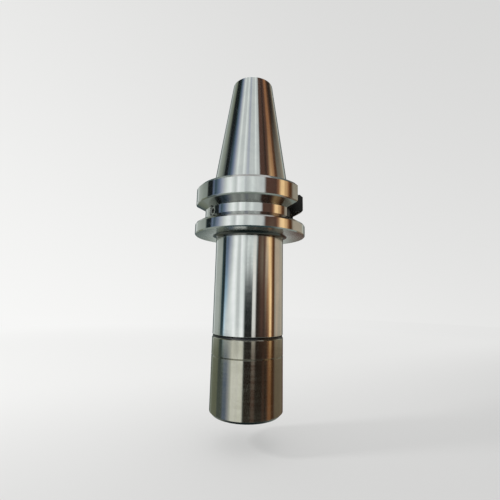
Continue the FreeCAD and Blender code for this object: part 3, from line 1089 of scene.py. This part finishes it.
WALL = StudioWall(
    posts=(
        Post(-180, MIST, WHITE, WHITE, WHITE, WHITE, WHITE),
        Post(-174, MIST, PEARL, PEARL, PEARL, PEARL, PEARL),
        Post(-171, SHADE, SHADE, SHADE, SHADE, SHADE, SHADE),
        Post(-154, SHADE, TEAL, TEAL, TEAL, TEAL, TEAL),
        Post(-149, MOSS, MIST, MIST, MIST, MIST, MIST),
        Post(-141, SAGE, PEARL, PEARL, PEARL, PEARL, MIST),
        Post(-136, MOSS, MIST, MIST, MIST, MIST, SAGE),
        Post(-112, MOSS, MIST, MIST, MIST, SAGE, MOSS),
        Post(-104, MOSS, SAGE, SAGE, MIST, SAGE, INK),
        Post(-101, SHADE, SAGE, SAGE, SAGE, SAGE, INK),
        Post(-97, SHADE, TEAL, TEAL, TEAL, INK, INK),
        Post(-88, SHADE, TEAL, INK, INK, INK, INK),
        Post(-85, SHADE, AZURE, TEAL, TEAL, INK, INK),
        Post(-81, SHADE, FROST, AZURE, SLATE, SLATE, INK),
        Post(-76, SLATE, SNOW, AZURE, SLATE, TEAL, TEAL),
        Post(-66, SLATE, SNOW, PEARL, LILAC, SLATE, SLATE),
        Post(-58, LILAC, SNOW, SNOW, PEARL, LILAC, LILAC),
        Post(-53, PEARL, SNOW, WHITE, SNOW, PEARL, PEARL),
        Post(-47, GLARE, WHITE, WHITE, WHITE, SNOW, SNOW),
        Post(-41, WHITE, SNOW, SNOW, SNOW, WHITE, PEARL),
        Post(-37, GLARE, PEARL, PEARL, PEARL, SNOW, PEARL),
        Post(-30, WHITE, PEARL, PEARL, PEARL, PEARL, PEARL),
        Post(-25, GLARE, SNOW, SNOW, WHITE, WHITE, SNOW),
        Post(-18, GLARE, WHITE, SNOW, SNOW, SNOW, PEARL),
        Post(-14, WHITE, PEARL, PEARL, PEARL, SNOW, LILAC),
        Post(-11, SHADE, SHADE, SHADE, PEARL, PEARL, LILAC),
        Post(-8, SOOT, INK, INK, PEARL, PEARL, LILAC),
        Post(-5, SOOT, INK, INK, SNOW, PEARL, PEARL),
        Post(3, SOOT, INK, INK, PEARL, SNOW, PEARL),
        Post(11, SOOT, INK, INK, SNOW, PEARL, PEARL),
        Post(14, BARK, IVORY, IVORY, IVORY, PEARL, SNOW),
        Post(21, BARK, IVORY, IVORY, IVORY, PEARL, PEARL),
        Post(26, SOOT, SOOT, SOOT, SHADE, PEARL, PEARL),
        Post(31, SOOT, SOOT, SOOT, BARK, BARK, BARK),
        Post(44, SOOT, BARK, BARK, DRAB, BARK, BARK),
        Post(52, BARK, SOOT, BARK, BARK, BARK, SOOT),
        Post(58, SOOT, BARK, DRAB, SAND, COPPER, BARK),
        Post(64, BARK, BARK, COPPER, SAND, GOLD, BARK),
        Post(70, COPPER, COPPER, AMBER, GOLD, GOLD, COPPER),
        Post(74, COPPER, GOLD, GOLD, GOLD, AMBER, COPPER),
        Post(78, COPPER, GOLD, GOLD, AMBER, AMBER, COPPER),
        Post(82, UMBER, COPPER, COPPER, COPPER, COPPER, COPPER),
        Post(86, UMBER, UMBER, UMBER, UMBER, UMBER, BARK),
        Post(91, BARK, UMBER, UMBER, UMBER, UMBER, UMBER),
        Post(97, DRAB, KHAKI, KHAKI, SAND, KHAKI, SOOT),
        Post(105, DRAB, SAND, SAND, SAND, KHAKI, SOOT),
        Post(114, DRAB, KHAKI, SAND, SAND, KHAKI, SOOT),
        Post(132, DRAB, KHAKI, KHAKI, KHAKI, KHAKI, DRAB),
        Post(137, DRAB, SAND, SAND, SAND, MIST, KHAKI),
        Post(142, DRAB, KHAKI, KHAKI, KHAKI, MIST, MIST),
        Post(150, BARK, SHADE, SHADE, SHADE, SHADE, SHADE),
        Post(171, BARK, BARK, BARK, BARK, BARK, BARK),
        Post(174, MIST, PEARL, PEARL, PEARL, PEARL, PEARL),
        Post(180, MIST, WHITE, WHITE, WHITE, WHITE, WHITE),
    )
)


@dataclass
class Studio:
    """The pale floor, the dark sheet far below it, the world, the soft lamp and the camera."""

    camera_bearing: float = 16.0
    camera_distance: float = 139.24 * MM
    camera_height: float = 43.5 * MM
    camera_yaw: float = 0.02
    camera_pitch: float = 11.25
    camera_roll: float = 1.27
    camera_rise: float = -0.04
    lens: float = 24.03
    sensor_width: float = 36.0
    clip_start: float = 0.005
    clip_end: float = 10.0
    floor_level: float = -11.0 * MM
    floor_radius: float = 0.82
    # The floor gives off part of its tone as light of its own.
    floor_glow: float = 0.5
    # The near settings paint shade that darkens the floor towards the camera and the right.
    near_share: float = 0.79
    near_start: float = -0.1
    near_end: float = 0.15
    near_slope: Vector = field(default_factory=lambda: Vector((-0.6, 1.0, 0.0)))
    fade_start: float = 0.12
    fade_end: float = 0.55
    floor_colour: Colour = (0.79, 0.79, 0.78)
    near_shaded_colour: Colour = (0.665, 0.665, 0.66)
    world_level: float = 0.86
    background: float = 0.855
    background_most: float = 0.93
    background_slope: Vector = field(default_factory=lambda: Vector((-0.115, 0.0, -0.17)))
    table_level: float = -0.44
    table_dark: float = 0.5
    table_pale: float = 0.6
    lamp_bearing: float = -78.0
    lamp_height: float = 0.31
    lamp_distance: float = 0.45
    lamp_size: float = 0.08
    lamp_power: float = 1.0

    def build(self) -> None:
        """Builds the studio round the holder."""
        self.floor()
        self.table()
        self.world()
        self.lamp()
        self.camera()
        WALL.build(self.camera_bearing)

    def disc(self, name: str, radius: float, level: float) -> bpy.types.Object:
        """Builds a flat round sheet as rings of faces.

        Args:
            name: Its name.
            radius: Its radius.
            level: Its height.

        Returns:
            The sheet.
        """
        shape = bmesh.new()
        rings, sides = 6, 96
        centre = shape.verts.new((0, 0, level))
        previous = None
        for ring in range(1, rings + 1):
            reach = radius * ring / rings
            row = []
            for side in range(sides):
                row.append(shape.verts.new(spot(reach, 2 * math.pi * side / sides, level)))
            for side in range(sides):
                beside = (side + 1) % sides
                if previous is None:
                    shape.faces.new((centre, row[side], row[beside]))
                else:
                    shape.faces.new((previous[side], row[side], row[beside], previous[beside]))
            previous = row
        mesh = bpy.data.meshes.new(name)
        shape.to_mesh(mesh)
        shape.free()
        piece = add_object(name, mesh)
        return piece

    def facing(self, way: Vector) -> Vector:
        """Turns a way that is given from the camera's bearing into the frame."""
        return Matrix.Rotation(math.radians(self.camera_bearing), 3, "Z") @ way

    @staticmethod
    def reach(wiring: Wiring) -> bpy.types.NodeSocket:
        """Measures how far a point of a sheet is from the frame's origin.

        Args:
            wiring: The sheet's material.

        Returns:
            The distance.
        """
        return wiring.length(wiring.add("ShaderNodeTexCoord").outputs["Object"])

    def backdrop(self, wiring: Wiring, way: Fed) -> bpy.types.NodeSocket:
        """Works out how bright the background is along one way out of the studio.

        Args:
            wiring: The tree to add to.
            way: The way, as a vector of length 1.

        Returns:
            The brightness, which never reaches white.
        """
        lean = wiring.dot(way, self.facing(self.background_slope))
        level = wiring.math("ADD", lean, self.background)
        return wiring.math("MINIMUM", level, self.background_most)

    def floor(self) -> None:
        """Lays the pale floor, which fades into the background and which gloss doesn't see."""
        piece = self.disc("studio_floor", self.floor_radius, self.floor_level)
        material, wiring = new_material("pale_floor")
        place = wiring.add("ShaderNodeTexCoord").outputs["Object"]
        # The floor is darker towards the camera and the right: painted shade.
        depth = wiring.dot(place, self.facing(self.near_slope))
        beyond = wiring.ramp(depth, self.near_start, self.near_end)
        tone = wiring.blend(beyond, rgba(self.near_shaded_colour), rgba(self.floor_colour))
        matt = wiring.add("ShaderNodeBsdfDiffuse", {"Color": tone})
        reach = self.reach(wiring)
        share = wiring.math("DIVIDE", 1.0, wiring.math("MAXIMUM", reach, self.fade_end))
        outward = wiring.add("ShaderNodeVectorMath", {0: place, "Scale": share}, operation="SCALE")
        # Its own glow is dimmed the same way: painted shade.
        dimmed = wiring.ramp(depth, self.near_start, self.near_end, self.near_share, 1.0)
        edge = wiring.ramp(reach, self.fade_start, self.fade_end, self.near_share, 1.0)
        kept = wiring.math("MAXIMUM", dimmed, edge)
        level = wiring.math("MULTIPLY", self.backdrop(wiring, outward.outputs[0]), kept)
        # The floor's glow is half its tone near the holder and all of it at the edge: partly
        # backdrop, partly painted light that lightens the holder's shadow.
        far = wiring.add("ShaderNodeEmission", {"Color": BACKDROP, "Strength": level})
        gone = wiring.ramp(reach, self.fade_start, self.fade_end, self.floor_glow, 1.0)
        wiring.add("ShaderNodeOutputMaterial", {"Surface": wiring.layer(gone, matt, far)})
        piece.data.materials.append(material)
        piece.visible_glossy = False

    def table(self) -> None:
        """Lays a sheet far below, dark in the middle, which only reflections show."""
        piece = self.disc("dark_sheet", WALL.radius, self.table_level)
        material, wiring = new_material("dark_sheet_glow")
        outward = wiring.ramp(self.reach(wiring), self.table_dark, self.table_pale)
        tint = wiring.blend(outward, rgba(TEAL), rgba(SAGE))
        glow = wiring.add("ShaderNodeEmission", {"Color": tint, "Strength": 1.0})
        wiring.add("ShaderNodeOutputMaterial", {"Surface": glow.outputs[0]})
        piece.data.materials.append(material)
        show_to_gloss_only(piece)

    def world(self) -> None:
        """Sets an even light, and the pale background that the camera and gloss see."""
        world = bpy.data.worlds.new("studio_world")
        bpy.context.scene.world = world
        world.use_nodes = True
        wiring = Wiring(world.node_tree)
        wiring.tree.nodes.clear()
        level = self.backdrop(wiring, wiring.add("ShaderNodeTexCoord").outputs["Generated"])
        seen = wiring.add("ShaderNodeBackground", {"Color": BACKDROP, "Strength": level})
        feeds = {"Color": (1.0, 1.0, 1.0, 1.0), "Strength": self.world_level}
        even = wiring.add("ShaderNodeBackground", feeds)
        path = wiring.add("ShaderNodeLightPath")
        shows = wiring.math("MAXIMUM", path.outputs["Is Camera Ray"], path.outputs["Is Glossy Ray"])
        shows = wiring.math("MAXIMUM", shows, path.outputs["Is Transmission Ray"])
        wiring.add("ShaderNodeOutputWorld", {"Surface": wiring.layer(shows, even, seen)})

    def lamp(self) -> None:
        """Hangs the soft lamp that casts the shadow on the floor."""
        light = bpy.data.lights.new("soft_lamp", "AREA")
        light.shape = "DISK"
        light.size = self.lamp_size
        light.energy = self.lamp_power
        lamp = add_object("soft_lamp", light)
        bearing = math.radians(self.camera_bearing + self.lamp_bearing)
        lamp.location = (
            self.lamp_distance * math.sin(bearing),
            -self.lamp_distance * math.cos(bearing),
            self.lamp_height,
        )
        lamp.rotation_mode = "QUATERNION"
        lamp.rotation_quaternion = (-lamp.location).to_track_quat("-Z", "Y")
        lamp.visible_glossy = False

    def camera(self) -> None:
        """Sets up the camera, below the flange and close to the holder."""
        data = bpy.data.cameras.new("camera")
        data.lens = self.lens
        data.sensor_width = self.sensor_width
        data.shift_y = self.camera_rise
        data.clip_start = self.clip_start
        data.clip_end = self.clip_end
        camera = add_object("camera", data)
        angles = (self.camera_yaw, self.camera_pitch, self.camera_roll)
        yaw, pitch, roll = (math.radians(angle) for angle in angles)
        forward = math.cos(pitch)
        ahead = Vector((math.sin(yaw) * forward, math.cos(yaw) * forward, math.sin(pitch)))
        level = ahead.cross(Vector((0, 0, 1))).normalized()
        upright = level.cross(ahead)
        right = level * math.cos(roll) + upright * math.sin(roll)
        top = upright * math.cos(roll) - level * math.sin(roll)
        stance = Matrix((right, top, -ahead)).transposed().to_4x4()
        stance.translation = (0, -self.camera_distance, self.camera_height)
        camera.matrix_world = Matrix.Rotation(math.radians(self.camera_bearing), 4, "Z") @ stance
        bpy.context.scene.camera = camera


def main() -> None:
    """Builds the holder's looks and the studio."""
    logging.basicConfig(level=logging.INFO, format="%(name)s: %(message)s")
    bpy.context.scene.view_settings.view_transform = "Standard"
    for part in (ChuckBody(), ClampingNut(), ColletSet()):
        part.build()
        LOG.info("%s is built", type(part).__name__)
    Studio().build()
    LOG.info("sizes are written")


if __name__ == "__main__":
    main()
